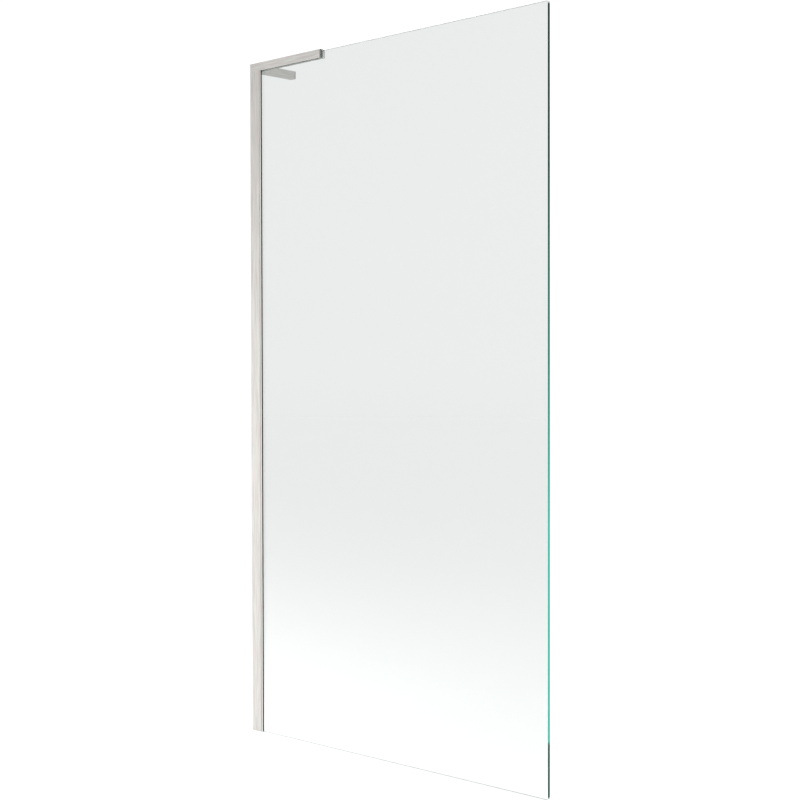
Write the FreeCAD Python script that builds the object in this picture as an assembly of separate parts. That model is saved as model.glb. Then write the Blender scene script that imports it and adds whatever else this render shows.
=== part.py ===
import FreeCAD, Part
import math
import os

# Fixed bath screen: a toughened glass panel in a telescoping wall profile, braced at the top
# by a slotted rail over the glass edge and a concealed-fixing arm that returns along the wall.
#
# Millimetres. Origin: wall plane (X = 0), middle of the glass (Y = 0), bath rim (Z = 0).
# +X runs along the glass away from the wall, +Y to the arm side, +Z up.

# ---- Overall sizes ----
overall_width = 850.0       # wall to the free edge of the glass, panel at its rest setting
overall_height = 1500.0     # bath rim to the top of the rail
section_depth = 18.0        # front to back of channel and rail
glass_thickness = 6.0
glass_arris = 0.4           # polished chamfer round the glass
glass_corner_radius = 1.5
edge_radius = 0.5           # broken edges of the steel sections

# ---- Wall channel ----
channel_depth = 29.5        # how far the channel's front leg stands out from the wall
channel_rear_depth = 22.5   # its rear leg, which stays out of sight behind the front one
channel_wall = 1.6
channel_web = 2.2
inner_corner_radius = 0.5
land_length = 4.5           # guide lands at the mouth and root of each leg
land_relief = 0.3
sealant_groove_width = 2.5
sealant_groove_depth = 0.5
sealant_groove_offset = 4.2
wall_hole_diameter = 5.5
wall_hole_inset = 60.0      # outer wall holes from the channel's ends

# ---- Adjustment of the glass panel ----
panel_reveal = 4.0          # glazing profile showing beyond the channel at rest
travel_in = 4.0
travel_out = 4.0
slide_clearance = 0.15
travel_gap = 0.8            # left behind the glazing profile when it is pushed right in
top_gap = 0.3               # glazing profile and gaskets below the rail

# ---- Glazing profile ----
profile_wall = 1.5
profile_lip = 1.4           # the two walls beside the glass
rear_lip_set_back = 8.5     # rear wall shorter than the front one
lock_wall = 2.5             # wall that takes the lock screws
chamber_depth = 5.5
spacer_thickness = 1.5
spacer_length = 60.0
spacer_inset = 90.0         # middle of an end spacer from the end of the profile
spacer_overhang = 0.6       # spacer wider than the glass on each side

# ---- Gaskets ----
gasket_recess = 0.4         # gasket behind the mouth of the profile
front_gasket_width = 10.0
rear_gasket_width = 4.6
rear_fin = 2.4              # rear gasket's fin, out along the glass
gasket_fit = 0.1
gasket_valley = 0.8         # hollow between the front gasket's two feet on the glass
gasket_foot = 2.6
bead_inset = 2.6            # bead inside the lip, that the gasket hooks behind
bead_width = 1.2
bead_height = 0.8

# ---- Top rail ----
rail_length = 230.0
rail_height = 18.0
rail_wall = 1.8
rail_cover = 3.0            # glass top to rail top
glass_clearance = 0.3       # liner to glass
liner_end_recess = 0.5
liner_foot_recess = 0.5
liner_foot_chamfer = 0.8

# ---- Clamp in the rail ----
strip_length = 150.0
strip_height = 8.0
strip_thickness = 1.4
strip_backing = 1.1         # rubber left between the strip and the glass
strip_fit = 0.1
clamp_screw_spacing = 60.0
clamp_screw_count = 3
clamp_screw_recess = 0.2

# ---- Channel key ----
key_thickness = 3.0
key_tongue_length = 50.0
key_block_depth = 10.0
key_fit = 0.1
key_screw_inset = 12.0
key_screw_length = 4.9
key_head_diameter = 7.6

# ---- Wall arm ----
arm_reach = 118.0           # middle of the glass to the end of the arm
arm_width = 14.0
arm_wall = 1.6
arm_floor = 3.0             # bottom wall, threaded for the grub screws
arm_end_wall = 3.0
arm_cap_thickness = 2.0
arm_tenon_length = 6.0
arm_fit = 0.1

# ---- Concealed arm base ----
base_thickness = 9.0
base_length = 80.0
base_hole_spacing = 50.0
base_countersink_diameter = 10.5
base_drop_gap = 0.3         # below the base, taken up by the grub screws
base_chamfer = 0.5
grub_spacing = 20.0

# ---- Screws ----
screw_diameter = 4.0
thread_fit = 0.05
corner_screw_diameter = 3.0
corner_screw_head_diameter = 5.5
corner_screw_head_height = 2.5
corner_screw_bite = 6.0
hole_fit = 0.3              # clearance holes and slots round a screw
socket_share = 0.5          # hexagon across flats, as a share of the screw
corner_socket_share = 0.75
socket_depth = 1.8

# ---- Lock screws ----
lock_screw_count = 3
lock_screw_inset = 150.0
lock_head_diameter = 7.0
lock_head_height = 2.4
lock_tip = 0.8
lock_gap = 0.1              # washer to channel
washer_diameter = 9.0
washer_thickness = 0.8
cap_wall = 0.9
cap_fit = 0.1
cap_edge = 0.7

# ---- Foot pieces ----
foot_base = 2.0
foot_height = 14.0
foot_prong = 3.0
foot_fit = 0.1
foot_barb = 0.8
foot_cap_height = 10.0

# ---- Places that follow from the sizes ----
half_depth = section_depth / 2
rail_bottom = overall_height - rail_height
glass_top = overall_height - rail_cover
half_glass = glass_thickness / 2
end_chamfer = edge_radius / 3

channel_inner = half_depth - channel_wall
profile_half = channel_inner - slide_clearance
profile_front = channel_depth + panel_reveal
profile_rear_front = profile_front - rear_lip_set_back
profile_back = channel_web + key_thickness + travel_gap + travel_in
chamber_start = profile_back + profile_wall
chamber_end = chamber_start + chamber_depth
pocket_back = chamber_end + profile_wall
pocket_half = profile_half - profile_lip
glass_edge = pocket_back + spacer_thickness
profile_top = rail_bottom - top_gap

rail_inner = half_depth - rail_wall
rail_roof = overall_height - rail_wall
liner_start = glass_edge - travel_in
liner_inner = half_glass + glass_clearance
strip_seat = liner_inner + strip_backing
strip_middle_x = (liner_start + rail_length) / 2
strip_middle_z = (rail_bottom + glass_top) / 2

key_middle_x = channel_web + key_block_depth / 2
key_half = rail_inner - key_fit
key_top = rail_roof - inner_corner_radius
tongue_half = channel_inner - inner_corner_radius

arm_cavity_floor = rail_bottom + arm_floor
arm_cavity_top = overall_height - arm_wall
arm_cavity_start = half_depth + arm_end_wall
arm_cavity_width = arm_width - arm_wall
arm_body_end = arm_reach - arm_cap_thickness
arm_cavity_middle = (arm_cavity_floor + arm_cavity_top) / 2
corner_screw_spacing = (arm_cavity_top - arm_cavity_floor) / 2
upper_corner_screw = arm_cavity_middle + corner_screw_spacing / 2
base_floor = arm_cavity_floor + base_drop_gap
base_room_start = arm_cavity_start + corner_screw_head_height
base_room_end = arm_body_end - arm_tenon_length
base_middle_y = (base_room_start + base_room_end) / 2
base_middle_z = (base_floor + arm_cavity_top) / 2

lock_x = (chamber_start + chamber_end) / 2
washer_face = half_depth + lock_gap
lock_seat = washer_face + washer_thickness


def vec(x, y, z):
    return FreeCAD.Vector(x, y, z)


def place(axis, u, v, w):
    """Point at (u, v) in the plane across an axis and w along it; X: (y, z), Y: (x, z), Z: (x, y)."""
    if axis == "X":
        return vec(w, u, v)
    if axis == "Y":
        return vec(u, w, v)
    return vec(u, v, w)


def outline(axis, corners, w):
    """Closed wire through corners (u, v) or (u, v, radius), with an arc at each that has a radius."""
    edges = []
    last_end = None
    first_start = None
    count = len(corners)
    for i, corner in enumerate(corners):
        here = place(axis, corner[0], corner[1], w)
        radius = corner[2] if len(corner) > 2 else 0.0
        before = place(axis, corners[i - 1][0], corners[i - 1][1], w)
        after = place(axis, corners[(i + 1) % count][0], corners[(i + 1) % count][1], w)
        start = here
        end = here
        arc = None
        if radius > 0:
            to_before = (before - here).normalize()
            to_after = (after - here).normalize()
            half_angle = to_before.getAngle(to_after) / 2
            setback = radius / math.tan(half_angle)
            start = here + to_before * setback
            end = here + to_after * setback
            middle = (to_before + to_after).normalize()
            centre = here + middle * (radius / math.sin(half_angle))
            arc = Part.Arc(start, centre - middle * radius, end).toShape()
        if last_end is not None:
            edges.append(Part.makeLine(last_end, start))
        else:
            first_start = start
        if arc is not None:
            edges.append(arc)
        last_end = end
    edges.append(Part.makeLine(last_end, first_start))
    return Part.Wire(edges)


def prism(axis, corners, start, end):
    """Extrude an outline along an axis, from start to end."""
    face = Part.Face(outline(axis, corners, start))
    return face.extrude(place(axis, 0, 0, end - start))


def rectangle(u0, u1, v0, v1, radius=0.0):
    """Four corners of a rectangle, all with one radius."""
    return [(u0, v0, radius), (u1, v0, radius), (u1, v1, radius), (u0, v1, radius)]


def rod(axis, u, v, start, end, radius):
    """Cylinder along an axis, from start to end."""
    return Part.makeCylinder(radius, end - start, place(axis, u, v, start), place(axis, 0, 0, 1))


def turned(axis, u, v, profile):
    """Solid turned about an axis, from its half section as points (radius, place along the axis)."""
    side = place(axis, 1, 0, 0)
    along = place(axis, 0, 0, 1)
    centre = place(axis, u, v, 0)
    points = [centre + side * radius + along * w for radius, w in profile]
    section = Part.Face(Part.makePolygon(points + points[:1]))
    return section.revolve(centre, along, 360)


def stadium(axis, u0, u1, v, radius, start, end):
    """Slot with round ends, its end centres at (u0, v) and (u1, v)."""
    body = prism(axis, rectangle(u0, u1, v - radius, v + radius), start, end)
    ends = [rod(axis, u0, v, start, end, radius), rod(axis, u1, v, start, end, radius)]
    return body.fuse(ends).removeSplitter()


def hexagon(axis, u, v, across, start, end):
    """Hexagon socket."""
    reach = across / math.sqrt(3)
    turns = [math.pi / 3 * i for i in range(6)]
    corners = [(u + reach * math.cos(t), v + reach * math.sin(t)) for t in turns]
    return prism(axis, corners, start, end)


def spread(first, last, count):
    """Evenly spaced places from first to last."""
    if count < 2:
        return [(first + last) / 2]
    return [first + (last - first) * i / (count - 1) for i in range(count)]


def wall_hole_heights():
    return spread(wall_hole_inset, rail_bottom - wall_hole_inset, 4)


def lock_heights():
    return spread(lock_screw_inset, rail_bottom - lock_screw_inset, lock_screw_count)


def key_screw_heights():
    tongue_foot = rail_bottom - key_tongue_length
    return [tongue_foot + key_screw_inset, rail_bottom - key_screw_inset]


def clamp_screw_places():
    reach = clamp_screw_spacing * (clamp_screw_count - 1) / 2
    return spread(strip_middle_x - reach, strip_middle_x + reach, clamp_screw_count)


def corner_screw_heights():
    return [upper_corner_screw - corner_screw_spacing, upper_corner_screw]


def base_hole_places():
    return [base_middle_y - base_hole_spacing / 2, base_middle_y + base_hole_spacing / 2]


def grub_places():
    return [base_middle_y - grub_spacing / 2, base_middle_y + grub_spacing / 2]


def to_front(half):
    """The other way round and on the other side: half a section for the front of the glass."""
    return [(c[0], -c[1]) + tuple(c[2:]) for c in reversed(half)]


def channel_leg(depth):
    """Half of the channel's section, from the wall round the leg's mouth to the web's middle."""
    groove_in = sealant_groove_offset - sealant_groove_width / 2
    groove_out = sealant_groove_offset + sealant_groove_width / 2
    mouth = depth - land_length
    root = channel_web + land_length
    return [
        (0, groove_in),
        (sealant_groove_depth, groove_in),
        (sealant_groove_depth, groove_out),
        (0, groove_out),
        (0, half_depth),
        (depth, half_depth, edge_radius),
        (depth, channel_inner, edge_radius / 2),
        (mouth, channel_inner),
        (mouth, channel_inner + land_relief),
        (root, channel_inner + land_relief),
        (root, channel_inner),
        (channel_web, channel_inner, inner_corner_radius),
    ]


def wall_channel():
    """Wall channel: a long front leg, a shorter slotted rear leg and a web with the wall holes."""
    section = channel_leg(channel_rear_depth) + to_front(channel_leg(channel_depth))
    body = prism("Z", section, 0, rail_bottom)
    cuts = [rod("X", 0, z, 0, channel_web, wall_hole_diameter / 2) for z in wall_hole_heights()]
    for z in key_screw_heights():
        bore = screw_diameter / 2 + key_fit
        head = key_head_diameter / 2 + key_fit
        sink = [(0, 0), (head, 0), (bore, head - bore), (bore, channel_web), (0, channel_web)]
        cuts.append(turned("X", 0, z, sink))
    slot_in = lock_x - travel_in - hole_fit
    slot_out = lock_x + travel_out + hole_fit
    for z in lock_heights():
        radius = screw_diameter / 2 + hole_fit
        cuts.append(stadium("Y", slot_in, slot_out, z, radius, channel_inner, half_depth))
    return body.cut(cuts)


def profile_leg(front):
    """Half of the glazing profile's section, with the bead that its gasket hooks behind."""
    bead_near = front - bead_inset
    bead_far = bead_near - bead_width
    bead_crest = pocket_half - bead_height
    return [
        (profile_back, profile_half),
        (front, profile_half, edge_radius),
        (front, pocket_half, edge_radius / 2),
        (bead_near, pocket_half),
        (bead_near - bead_width / 3, bead_crest),
        (bead_far, bead_crest),
        (bead_far, pocket_half),
        (pocket_back, pocket_half),
    ]


def glazing_profile():
    """Profile that slides in the channel: a closed chamber for the lock screws, a pocket for the glass."""
    section = profile_leg(profile_rear_front) + to_front(profile_leg(profile_front))
    body = prism("Z", section, 0, profile_top)
    chamber = rectangle(chamber_start, chamber_end, profile_wall - profile_half, profile_half - lock_wall)
    cuts = [prism("Z", chamber, 0, profile_top)]
    for z in lock_heights():
        radius = screw_diameter / 2 + thread_fit
        cuts.append(rod("Y", lock_x, z, profile_half - lock_wall, profile_half, radius))
    return body.cut(cuts)


def gasket_back(lip_front, tail):
    """Back of a gasket's section, with a notch that hooks behind the lip's bead."""
    notch_near = lip_front - bead_inset + gasket_fit
    notch_far = notch_near - bead_width - 2 * gasket_fit
    notch_floor = pocket_half - bead_height - gasket_fit
    return [
        (lip_front - gasket_recess, pocket_half),
        (notch_near, pocket_half),
        (notch_near - bead_width / 3, notch_floor),
        (notch_far, notch_floor),
        (notch_far, pocket_half),
        (tail, pocket_half),
    ]


def rear_gasket():
    """Glazing gasket behind the glass, with a fin that lies out along it."""
    tail = profile_rear_front - gasket_recess - rear_gasket_width
    fin = profile_rear_front - gasket_recess + rear_fin
    soft = gasket_valley / 2
    section = [(fin, half_glass), (fin, half_glass + soft)]
    section += gasket_back(profile_rear_front, tail)
    section.append((tail + gasket_valley, half_glass, soft))
    return prism("Z", section, 0, profile_top)


def front_gasket():
    """Glazing gasket in front of the glass, with two feet on it."""
    nose = profile_front - gasket_recess
    tail = nose - front_gasket_width
    valley = half_glass + gasket_valley
    soft = gasket_valley / 2
    section = [(nose, half_glass, soft)] + gasket_back(profile_front, tail) + [
        (tail + gasket_valley, half_glass, soft),
        (tail + gasket_foot, half_glass),
        (tail + gasket_foot + gasket_valley, valley),
        (nose - gasket_foot - gasket_valley, valley),
        (nose - gasket_foot, half_glass),
    ]
    return prism("Z", to_front(section), 0, profile_top)


def edge_spacers():
    """Blocks between the glass and the bottom of the profile's pocket."""
    half = half_glass + spacer_overhang
    blocks = []
    for z in spread(spacer_inset, profile_top - spacer_inset, 3):
        corners = rectangle(pocket_back, glass_edge, -half, half)
        blocks.append(prism("Z", corners, z - spacer_length / 2, z + spacer_length / 2))
    return Part.makeCompound(blocks)


def glass_pane():
    corners = [
        (glass_edge, 0, glass_corner_radius),
        (overall_width, 0, glass_corner_radius),
        (overall_width, glass_top, glass_corner_radius),
        (glass_edge, glass_top, glass_corner_radius),
    ]
    pane = prism("Y", corners, -half_glass, half_glass)
    rims = [e for e in pane.Edges if abs(abs(e.CenterOfMass.y) - half_glass) < glass_arris / 2]
    return pane.makeChamfer(glass_arris, rims)


def chamfered_end(body, end):
    """The body with its edges broken round the end face that lies farthest along a direction."""
    face = max(body.Faces, key=lambda f: f.CenterOfMass.dot(end))
    return body.makeChamfer(end_chamfer, face.Edges)


def top_rail():
    """Folded channel over the glass edge, with holes for the corner screws and clamp screws."""
    section = rectangle(-half_depth, half_depth, rail_bottom, overall_height, edge_radius)
    body = chamfered_end(prism("X", section, 0, rail_length), vec(1, 0, 0))
    cavity = [
        (-rail_inner, rail_bottom),
        (rail_inner, rail_bottom),
        (rail_inner, rail_roof, inner_corner_radius),
        (-rail_inner, rail_roof, inner_corner_radius),
    ]
    cuts = [prism("X", cavity, 0, rail_length)]
    for x in clamp_screw_places():
        cuts.append(rod("Y", x, strip_middle_z, rail_inner, half_depth, screw_diameter / 2 + thread_fit))
    for z in corner_screw_heights():
        radius = corner_screw_diameter / 2 + hole_fit
        cuts.append(rod("Y", key_middle_x, z, rail_inner, half_depth, radius))
    return body.cut(cuts)


def strip_blank(extra, start, end):
    """Round-ended bar, larger all round by extra."""
    radius = strip_height / 2
    reach = strip_length / 2 - radius
    first = strip_middle_x - reach
    last = strip_middle_x + reach
    return stadium("Y", first, last, strip_middle_z, radius + extra, start, end)


def rail_liner():
    """Rubber lining between the rail and the glass, with a pocket for the clamp strip."""
    foot = rail_bottom + liner_foot_recess
    toe = foot + liner_foot_chamfer
    roof = glass_top + glass_clearance
    chamfered = liner_inner + liner_foot_chamfer
    section = [
        (-rail_inner, foot),
        (-rail_inner, rail_roof, inner_corner_radius),
        (rail_inner, rail_roof, inner_corner_radius),
        (rail_inner, foot),
        (chamfered, foot),
        (liner_inner, toe),
        (liner_inner, roof),
        (-liner_inner, roof),
        (-liner_inner, toe),
        (-chamfered, foot),
    ]
    body = prism("X", section, liner_start, rail_length - liner_end_recess)
    return body.cut(strip_blank(strip_fit, strip_seat, rail_inner))


def clamp_strip():
    return strip_blank(0, strip_seat, strip_seat + strip_thickness)


def grub_screw(axis, u, v, start, end, driven_from_end):
    """Headless screw with a flat point, and a hexagon socket in the end that it is driven from."""
    body = rod(axis, u, v, start, end, screw_diameter / 2)
    across = screw_diameter * socket_share
    if driven_from_end:
        return body.cut(hexagon(axis, u, v, across, end - socket_depth, end))
    return body.cut(hexagon(axis, u, v, across, start, start + socket_depth))


def clamp_screws():
    seat = strip_seat + strip_thickness
    end = half_depth - clamp_screw_recess
    screws = [grub_screw("Y", x, strip_middle_z, seat, end, True) for x in clamp_screw_places()]
    return Part.makeCompound(screws)


def channel_key():
    """Block in the wall end of the rail with a tongue down the channel, joining the two."""
    block = rectangle(-key_half, key_half, rail_bottom, key_top)
    body = prism("X", block, channel_web, channel_web + key_block_depth)
    tongue = rectangle(channel_web, channel_web + key_thickness, -tongue_half, tongue_half)
    body = body.fuse(prism("Z", tongue, rail_bottom - key_tongue_length, rail_bottom))
    cuts = []
    for z in key_screw_heights():
        radius = screw_diameter / 2 + thread_fit
        cuts.append(rod("X", 0, z, channel_web, channel_web + key_thickness, radius))
    for z in corner_screw_heights():
        radius = corner_screw_diameter / 2 + thread_fit
        depth = rail_inner - corner_screw_bite - key_fit
        cuts.append(rod("Y", key_middle_x, z, depth, key_half, radius))
    return body.cut(cuts).removeSplitter()


def key_screws():
    """Countersunk screws from the wall side of the channel into the key's tongue."""
    screws = []
    radius = screw_diameter / 2
    head = key_head_diameter / 2
    across = screw_diameter * socket_share
    neck = key_fit + head - radius
    tip = key_fit + key_screw_length
    for z in key_screw_heights():
        section = [(0, key_fit), (head, key_fit), (radius, neck), (radius, tip), (0, tip)]
        socket = hexagon("X", 0, z, across, key_fit, key_fit + socket_depth)
        screws.append(turned("X", 0, z, section).cut(socket))
    return Part.makeCompound(screws)


def wall_arm():
    """Hollow arm, open to the wall, that slides over the concealed base."""
    section = [
        (0, rail_bottom, edge_radius / 2),
        (arm_width, rail_bottom, edge_radius),
        (arm_width, overall_height, edge_radius),
        (0, overall_height, edge_radius / 2),
    ]
    body = prism("Y", section, half_depth, arm_body_end)
    cavity = [
        (0, arm_cavity_floor),
        (arm_cavity_width, arm_cavity_floor),
        (arm_cavity_width, arm_cavity_top),
        (0, arm_cavity_top),
    ]
    cuts = [prism("Y", cavity, arm_cavity_start, arm_body_end)]
    for z in corner_screw_heights():
        radius = corner_screw_diameter / 2 + hole_fit
        cuts.append(rod("Y", key_middle_x, z, half_depth, arm_cavity_start, radius))
    for y in grub_places():
        radius = screw_diameter / 2 + thread_fit
        cuts.append(rod("Z", base_thickness / 2, y, rail_bottom, arm_cavity_floor, radius))
    return body.cut(cuts)


def corner_screws():
    """Cap screws from inside the arm, through the rail's cheek, into the key."""
    screws = []
    seat = arm_cavity_start
    head_end = seat + corner_screw_head_height
    tip = rail_inner - corner_screw_bite
    radius = corner_screw_diameter / 2
    head = corner_screw_head_diameter / 2
    across = corner_screw_diameter * corner_socket_share
    for z in corner_screw_heights():
        section = [(0, tip), (radius, tip), (radius, seat), (head, seat), (head, head_end), (0, head_end)]
        socket = hexagon("Y", key_middle_x, z, across, head_end - socket_depth, head_end)
        screws.append(turned("Y", key_middle_x, z, section).cut(socket))
    return Part.makeCompound(screws)


def arm_base():
    """Bar screwed to the wall inside the arm."""
    first = base_middle_y - base_length / 2
    last = base_middle_y + base_length / 2
    section = [
        (0, base_floor),
        (base_thickness - base_chamfer, base_floor),
        (base_thickness, base_floor + base_chamfer),
        (base_thickness, arm_cavity_top - base_chamfer),
        (base_thickness - base_chamfer, arm_cavity_top),
        (0, arm_cavity_top),
    ]
    body = prism("Y", section, first, last)
    cuts = []
    sink = base_countersink_diameter / 2
    bore = wall_hole_diameter / 2
    shoulder = base_thickness - (sink - bore)
    hole = [(0, 0), (bore, 0), (bore, shoulder), (sink, base_thickness), (0, base_thickness)]
    for y in base_hole_places():
        cuts.append(turned("X", y, base_middle_z, hole))
    return body.cut(cuts)


def arm_grub_screws():
    """Grub screws from below that lock the arm up against its base."""
    screws = []
    for y in grub_places():
        start = rail_bottom + clamp_screw_recess
        screws.append(grub_screw("Z", base_thickness / 2, y, start, base_floor, False))
    return Part.makeCompound(screws)


def arm_end_cap():
    """Plate over the arm's open end, on a tenon that plugs the cavity."""
    plate = [
        (0, rail_bottom, edge_radius / 2),
        (arm_width, rail_bottom, edge_radius),
        (arm_width, overall_height, edge_radius),
        (0, overall_height, edge_radius / 2),
    ]
    body = chamfered_end(prism("Y", plate, arm_body_end, arm_reach), vec(0, 1, 0))
    tenon = rectangle(
        arm_fit, arm_cavity_width - arm_fit, arm_cavity_floor + arm_fit, arm_cavity_top - arm_fit,
    )
    body = body.fuse(prism("Y", tenon, arm_body_end - arm_tenon_length, arm_body_end))
    hollow = rectangle(
        arm_fit + arm_wall, arm_cavity_width - arm_fit - arm_wall,
        arm_cavity_floor + arm_fit + arm_wall, arm_cavity_top - arm_fit - arm_wall,
    )
    return body.cut(prism("Y", hollow, arm_body_end - arm_tenon_length, arm_body_end))


def lock_screws():
    """Low-head cap screws through the channel's slots into the glazing profile."""
    screws = []
    tip = profile_half - lock_wall - lock_tip
    head_end = lock_seat + lock_head_height
    radius = screw_diameter / 2
    head = lock_head_diameter / 2
    across = screw_diameter * socket_share
    section = [(0, tip), (radius, tip), (radius, lock_seat), (head, lock_seat), (head, head_end), (0, head_end)]
    for z in lock_heights():
        socket = hexagon("Y", lock_x, z, across, head_end - socket_depth, head_end)
        screws.append(turned("Y", lock_x, z, section).cut(socket))
    return Part.makeCompound(screws)


def lock_washers():
    outer = washer_diameter / 2
    bore = screw_diameter / 2 + thread_fit
    section = [(bore, washer_face), (outer, washer_face), (outer, lock_seat), (bore, lock_seat)]
    return Part.makeCompound([turned("Y", lock_x, z, section) for z in lock_heights()])


def lock_screw_caps():
    """Covers pushed over the lock screws' heads, with a broken edge round the crown."""
    inner = lock_head_diameter / 2 + cap_fit
    outer = inner + cap_wall
    roof = lock_seat + lock_head_height + cap_fit
    crown = roof + cap_wall
    section = [
        (inner, lock_seat), (outer, lock_seat), (outer, crown - cap_edge),
        (outer - cap_edge, crown), (0, crown), (0, roof), (inner, roof),
    ]
    return Part.makeCompound([turned("Y", lock_x, z, section) for z in lock_heights()])


def channel_foot_plug():
    """Moulded plug in the foot of the channel: a base plate and two barbed prongs."""
    first = channel_web + inner_corner_radius
    last = channel_web + key_thickness
    half = channel_inner - foot_fit
    corners = [
        (-half, 0),
        (half, 0),
        (half, foot_height - foot_barb),
        (half - foot_barb, foot_height),
        (half - foot_prong, foot_height),
        (half - foot_prong, foot_base, foot_barb),
        (foot_prong - half, foot_base, foot_barb),
        (foot_prong - half, foot_height),
        (foot_barb - half, foot_height),
        (-half, foot_height - foot_barb),
    ]
    return prism("X", corners, first, last)


def glazing_foot_cap():
    """Plug in the foot of the glazing profile's chamber."""
    plug = rectangle(
        chamber_start + foot_fit, chamber_end - foot_fit,
        profile_wall - profile_half + foot_fit, profile_half - lock_wall - foot_fit,
    )
    hollow = rectangle(
        chamber_start + foot_fit + profile_wall, chamber_end - foot_fit - profile_wall,
        2 * profile_wall - profile_half + foot_fit, profile_half - lock_wall - foot_fit - profile_wall,
    )
    body = prism("Z", plug, 0, foot_cap_height)
    return body.cut(prism("Z", hollow, foot_base, foot_cap_height))


PIECES = (
    wall_channel, channel_foot_plug, channel_key, key_screws,
    top_rail, rail_liner, clamp_strip, clamp_screws,
    wall_arm, arm_base, arm_end_cap, arm_grub_screws, corner_screws,
    glass_pane, glazing_profile, front_gasket, rear_gasket, edge_spacers, glazing_foot_cap,
    lock_screws, lock_washers, lock_screw_caps,
)


def main():
    os.makedirs("parts", exist_ok=True)
    for piece in PIECES:
        shape = piece()
        if not shape.isValid() or not shape.Solids:
            raise RuntimeError(piece.__name__ + " is not a valid solid")
        shape.exportStep("parts/" + piece.__name__ + ".step")
        print(piece.__name__, len(shape.Solids), "solids", round(shape.Volume / 1000, 2), "cm3")


main()
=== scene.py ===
"""Bath screen: the finishes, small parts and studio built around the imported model.

Metres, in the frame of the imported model: the wall plane is X = 0, the middle of the glass Y = 0
and the bath rim Z = 0.
"""

import logging
import math
from dataclasses import dataclass
from enum import Enum

import bmesh
import bpy
from mathutils import Matrix, Vector


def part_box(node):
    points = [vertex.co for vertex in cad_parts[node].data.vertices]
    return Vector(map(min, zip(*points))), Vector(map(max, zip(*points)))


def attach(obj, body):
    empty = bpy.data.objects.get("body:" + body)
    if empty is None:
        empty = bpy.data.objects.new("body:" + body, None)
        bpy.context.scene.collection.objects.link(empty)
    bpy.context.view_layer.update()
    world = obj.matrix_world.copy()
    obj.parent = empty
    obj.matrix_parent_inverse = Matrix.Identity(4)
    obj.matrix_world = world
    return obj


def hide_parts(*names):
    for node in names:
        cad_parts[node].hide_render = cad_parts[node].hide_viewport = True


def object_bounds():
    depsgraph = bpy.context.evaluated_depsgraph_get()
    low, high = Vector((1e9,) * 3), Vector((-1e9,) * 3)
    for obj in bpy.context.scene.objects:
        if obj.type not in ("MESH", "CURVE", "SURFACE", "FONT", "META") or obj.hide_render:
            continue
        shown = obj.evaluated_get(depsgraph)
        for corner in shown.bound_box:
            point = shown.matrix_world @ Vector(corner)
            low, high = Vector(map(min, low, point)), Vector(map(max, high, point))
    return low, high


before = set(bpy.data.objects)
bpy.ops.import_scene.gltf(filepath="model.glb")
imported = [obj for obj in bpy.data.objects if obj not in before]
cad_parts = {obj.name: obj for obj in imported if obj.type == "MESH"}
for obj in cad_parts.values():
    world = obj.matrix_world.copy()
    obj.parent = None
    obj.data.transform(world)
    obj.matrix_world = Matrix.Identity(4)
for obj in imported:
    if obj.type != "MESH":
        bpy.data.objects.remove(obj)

CAD_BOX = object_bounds()
MM = 0.001
QUARTER_TURN = math.pi / 2
FULL_TURN = 2 * math.pi
NOISE_MIDDLE = (0.3, 0.7)

Colour = tuple[float, float, float, float]
Ramp = tuple[tuple[float, Colour], ...]
Pair = tuple[float, float]
Spot = tuple[float, float, float]
Socket = bpy.types.NodeSocket
Feeds = dict[str | int, object]
Material = bpy.types.Material
Mesh = bpy.types.Mesh
Piece = bpy.types.Object

log = logging.getLogger("bath_screen")


class Body(Enum):
    """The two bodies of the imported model."""

    WALL_FRAME = "wall_frame"
    GLASS_PANEL = "glass_panel"


class Along(Enum):
    """The direction in which steel was brushed, or in which a row of parts runs."""

    LENGTH = (1.0, 0.0, 0.0)
    DEPTH = (0.0, 1.0, 0.0)
    UPRIGHT = (0.0, 0.0, 1.0)


class Facing(Enum):
    """The way that a part faces: the number of its axis, and the turn to it from upright."""

    TO_WALL = (0, (0.0, -QUARTER_TURN, 0.0))
    TO_ARM = (1, (-QUARTER_TURN, 0.0, 0.0))
    UP = (2, (0.0, 0.0, 0.0))
    DOWN = (2, (math.pi, 0.0, 0.0))


def colour(red: float, green: float, blue: float) -> Colour:
    """An opaque linear colour."""
    return (red, green, blue, 1.0)


def grey(level: float) -> Colour:
    """An opaque neutral of the given linear level."""
    return colour(level, level, level)


def shaded(tone: Colour, by: Colour) -> Colour:
    """A colour times another, channel by channel."""
    return tuple(first * second for first, second in zip(tone, by))


@dataclass(frozen=True)
class Batch:
    """A row of like parts. Each is turned about its own axis by up to the spin, by chance."""

    name: str
    count: int
    along: Along
    facing: Facing
    seed: int
    body: Body = Body.WALL_FRAME
    slot: str = "screw_steel"
    spin: float = FULL_TURN


UPRIGHT, GLASS_PANEL = Along.UPRIGHT, Body.GLASS_PANEL
BATCHES = {
    "edge_spacers": Batch("edge_spacer_blocks", 3, UPRIGHT, Facing.UP, 0, GLASS_PANEL, "liner_plastic", 0.0),
    "lock_screws": Batch("lock_screw_row", 3, UPRIGHT, Facing.TO_ARM, 3, GLASS_PANEL),
    "lock_washers": Batch("lock_washer_row", 3, UPRIGHT, Facing.TO_ARM, 5, GLASS_PANEL),
    "lock_screw_caps": Batch("lock_cap_row", 3, UPRIGHT, Facing.TO_ARM, 7, GLASS_PANEL, "cap_plastic"),
    "clamp_screws": Batch("clamp_screw_row", 3, Along.LENGTH, Facing.TO_ARM, 11),
    "arm_grub_screws": Batch("arm_grub_row", 2, Along.DEPTH, Facing.DOWN, 13),
    "corner_screws": Batch("corner_screw_row", 2, UPRIGHT, Facing.TO_ARM, 17),
    "key_screws": Batch("key_screw_row", 2, UPRIGHT, Facing.TO_WALL, 19),
}


# ---- Node trees ----


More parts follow.
